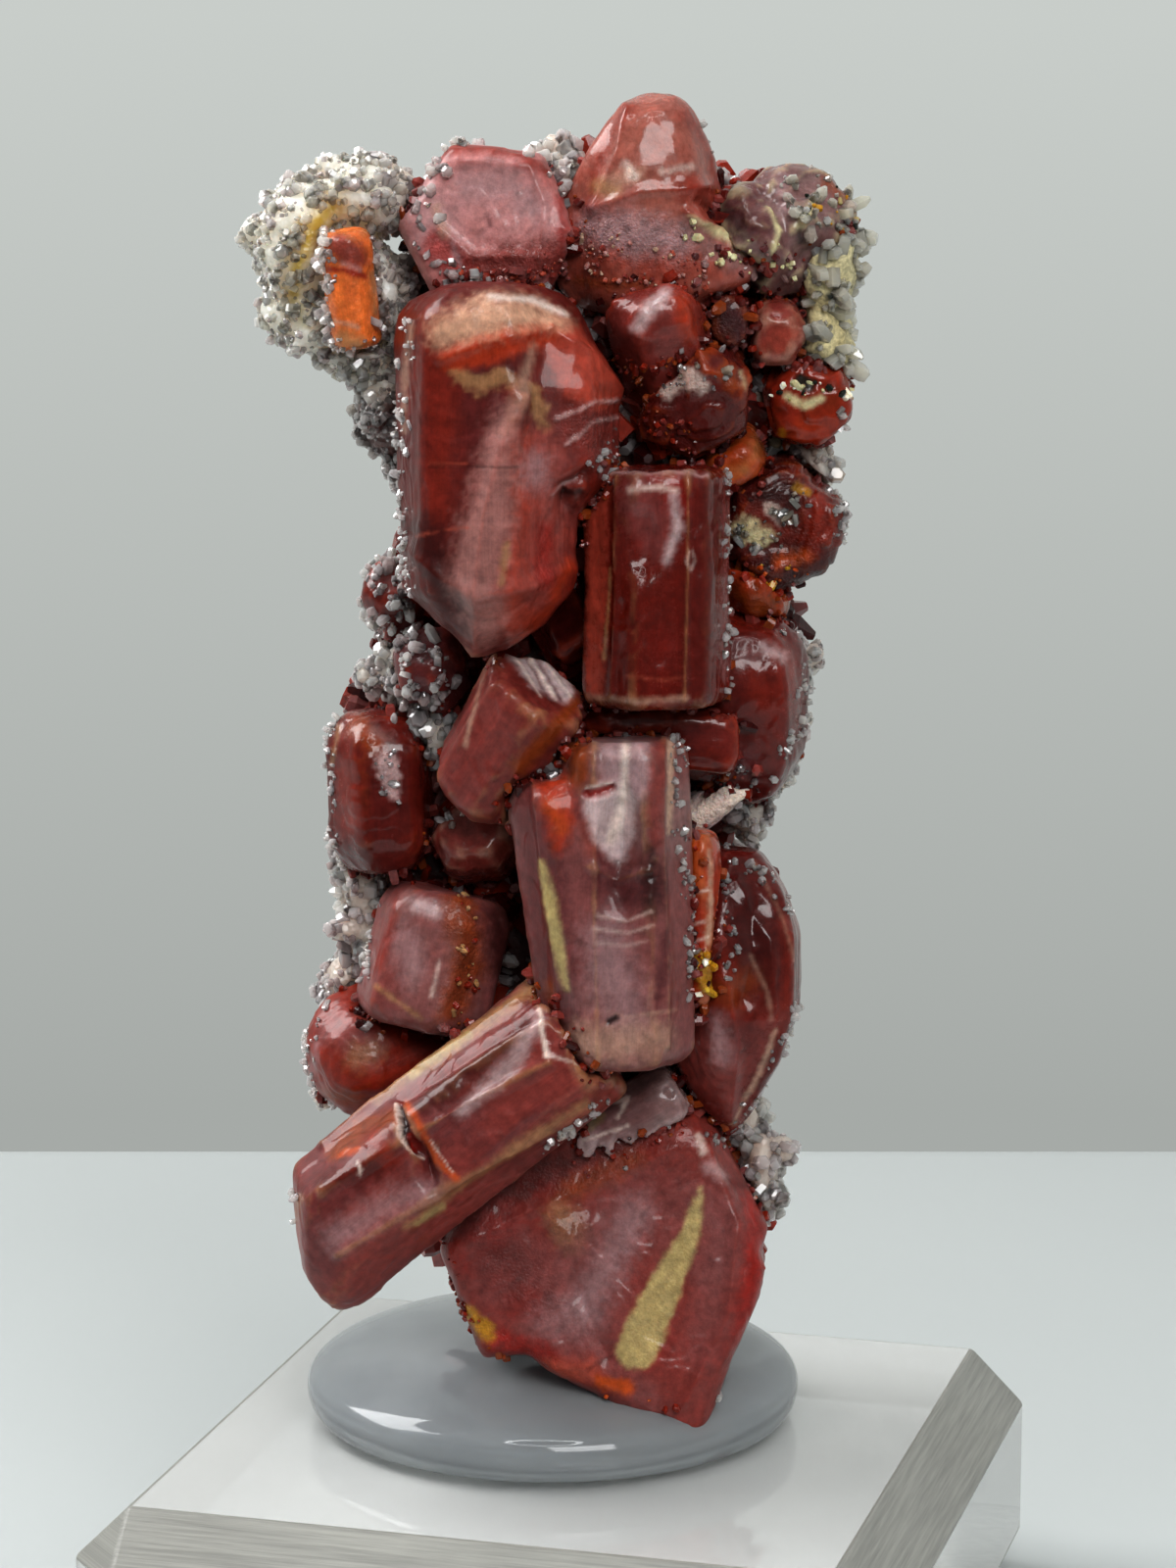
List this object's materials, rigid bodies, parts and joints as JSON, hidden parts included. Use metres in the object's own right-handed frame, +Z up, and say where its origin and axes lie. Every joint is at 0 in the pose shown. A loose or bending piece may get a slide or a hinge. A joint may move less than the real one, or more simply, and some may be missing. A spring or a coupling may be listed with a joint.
{
  "type": "vanadinite on matrix mineral specimen on an acrylic base",
  "caption": "Upright mineral specimen: red hexagonal crystals grown on a rock matrix with sugary clear crusts, set in a gel pad on a bevelled clear acrylic block.",
  "frame": {"origin": "middle of the acrylic block's underside, where the part rests", "axes": "+Z up along the specimen, -Y towards the block's front side"},
  "size_m": [0.032, 0.032, 0.0632],
  "materials": {
    "clear_acrylic": "clear, polished faces, saw-frosted bevels",
    "clear_gel": "clear slightly bluish gel",
    "olive_stone": "rough rock with dark specks",
    "clear_crust": "sugary clear crystals",
    "red_crystal": "glossy, orange-red with maroon zones",
    "dark_red_crystal": "glossy dark red",
    "mauve_crystal": "silky red with a mauve film",
    "amber_crystal": "glossy orange-brown",
    "grey_crystal": "glassy greyish mauve",
    "pale_crystal": "glittering white-grey crust"
  },
  "bodies": {
    "root": {"acrylic_block": "clear_acrylic", "gel_pad": "clear_gel", "matrix": "olive_stone", "upper_left_crust": "clear_crust", "top_crust": "clear_crust", "left_middle_crust": "clear_crust", "left_lower_crust": "clear_crust", "right_middle_crust": "clear_crust", "upper_right_crust": "clear_crust", "right_lower_crust": "clear_crust", "large_upper_crystal": "red_crystal", "right_upright_crystal": "red_crystal", "central_scooped_crystal": "mauve_crystal", "diagonal_crystal": "red_crystal", "striated_wedge_crystal": "dark_red_crystal", "bottom_plate_crystal": "mauve_crystal", "lower_right_pointed_crystal": "dark_red_crystal", "top_crystal": "red_crystal", "top_left_crystal": "mauve_crystal", "small_tilted_crystal": "mauve_crystal", "glassy_crystal": "dark_red_crystal", "dark_glinting_crystal": "dark_red_crystal", "right_middle_crystal": "dark_red_crystal", "pale_edge_crystal": "pale_crystal", "lying_crystal": "dark_red_crystal", "orange_splinter_crystal": "amber_crystal", "grey_striated_crystal": "grey_crystal", "left_middle_crystal": "dark_red_crystal", "left_lower_crystal": "mauve_crystal", "left_foot_crystal": "red_crystal", "top_right_grey_crystals": "grey_crystal", "dark_grain_crystal": "dark_red_crystal", "pink_bead_crystal": "mauve_crystal", "right_red_crystal": "red_crystal", "upper_amber_crystal": "amber_crystal", "lower_amber_crystal": "amber_crystal", "orange_crystal_in_crust": "amber_crystal", "left_upper_crystal": "dark_red_crystal", "left_ledge_crystal": "dark_red_crystal", "deep_dark_crystal": "dark_red_crystal", "left_inner_crystal": "red_crystal", "back_upper_crystal": "red_crystal", "back_slanting_crystal": "mauve_crystal", "back_middle_crystal": "dark_red_crystal", "back_lower_crystal": "red_crystal", "back_foot_crystal": "mauve_crystal"}
  },
  "joints": []
}
